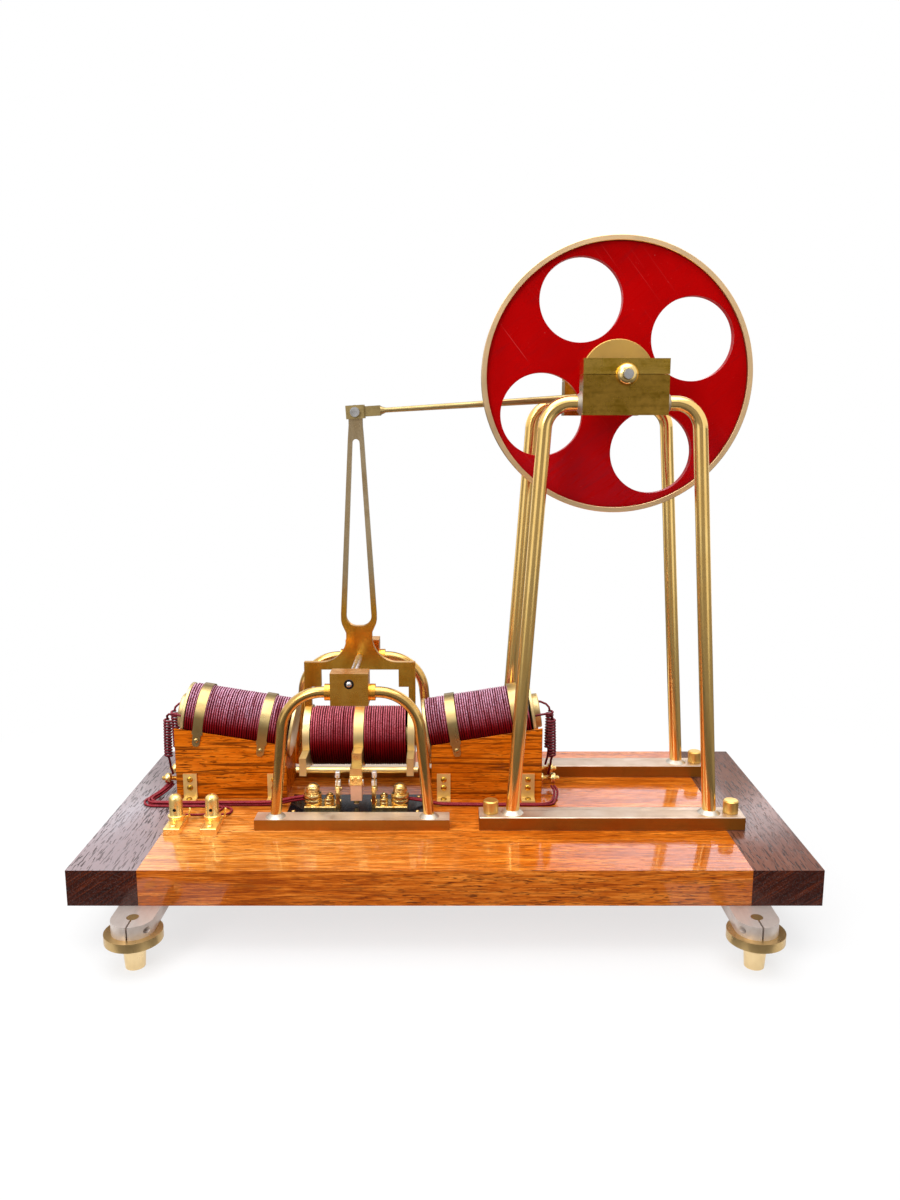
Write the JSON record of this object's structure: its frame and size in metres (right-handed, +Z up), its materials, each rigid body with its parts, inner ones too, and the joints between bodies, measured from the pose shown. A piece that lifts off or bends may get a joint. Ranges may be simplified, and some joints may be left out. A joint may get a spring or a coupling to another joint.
{
  "type": "tabletop reciprocating electric motor model",
  "caption": "Tabletop demonstration motor: a coil swings between two fixed coils, and its rocker turns a flywheel by a rod and crank.",
  "frame": {"origin": "centre of the outer box at the bottom, where the four levelling feet stand", "axes": "+X to the flywheel end along the base, +Y to the back, +Z up"},
  "size_m": [0.5, 0.3024, 0.4752],
  "materials": {
    "varnished_oak": "varnished",
    "dark_oak": "varnished",
    "aged_brass": "smudged",
    "polished_brass": "polished",
    "satin_brass": "satin",
    "foot_brass": "satin",
    "solder": "soft",
    "steel": "bright",
    "red_enamel": "gloss",
    "winding": "enamelled wire",
    "copper": "satin",
    "ebonite": "gloss",
    "silver_contact": "bright",
    "red_wire": "insulated"
  },
  "bodies": {
    "frame": {"centre_board": "varnished_oak", "end_cleats": "dark_oak", "foot_runners": "satin_brass", "front_left_foot": "foot_brass", "front_right_foot": "foot_brass", "rear_left_foot": "foot_brass", "rear_right_foot": "foot_brass", "wheel_stand_bars": "satin_brass", "wheel_arch_front": "polished_brass", "wheel_arch_rear": "polished_brass", "bearing_blocks": "aged_brass", "bearing_caps": "aged_brass", "shaft_bushes": "polished_brass", "stand_bolts": "satin_brass", "solder_fillets": "solder", "rocker_stand_bars": "satin_brass", "rocker_arch_front": "polished_brass", "rocker_arch_rear": "polished_brass", "rocker_blocks": "aged_brass", "left_cradle": "varnished_oak", "right_cradle": "varnished_oak", "fixed_windings": "winding", "fixed_bobbins": "satin_brass", "coil_straps": "polished_brass", "cradle_brackets": "satin_brass", "commutator_plate": "ebonite", "contact_posts": "polished_brass", "contact_tips": "silver_contact", "terminals": "polished_brass", "lead_posts": "polished_brass", "pigtails": "red_wire", "lead_wires": "red_wire"},
    "flywheel": {"flywheel_rim": "satin_brass", "flywheel_disc": "red_enamel", "flywheel_hub": "satin_brass", "crankshaft": "steel"},
    "rocker": {"rocker_frame": "aged_brass", "rocker_shaft": "steel", "moving_bobbin": "satin_brass", "moving_winding": "winding", "moving_clamp": "polished_brass", "contact_finger": "copper"},
    "connecting_rod_body": {"connecting_rod": "satin_brass", "clevis_pin": "steel"}
  },
  "joints": [
    {"name": "flywheel_spin", "type": "hinge", "parent": "frame", "child": "flywheel", "pos_m": [0.1205, 0, 0.3802], "axis": [0, 1, 0], "continuous": true},
    {"name": "rocker_swing", "type": "hinge", "parent": "frame", "child": "rocker", "pos_m": [-0.0675, 0, 0.168], "axis": [0, 1, 0], "range_deg": [-3.75, 3.75]},
    {"name": "rod_pin", "type": "hinge", "parent": "rocker", "child": "connecting_rod_body", "pos_m": [-0.0675, 0.03, 0.3562], "axis": [0, 1, 0], "range_deg": [-3.75, 3.75]}
  ],
  "couplings": [
    {"joint": "rod_pin", "follows": "rocker_swing", "ratio": -1}
  ]
}
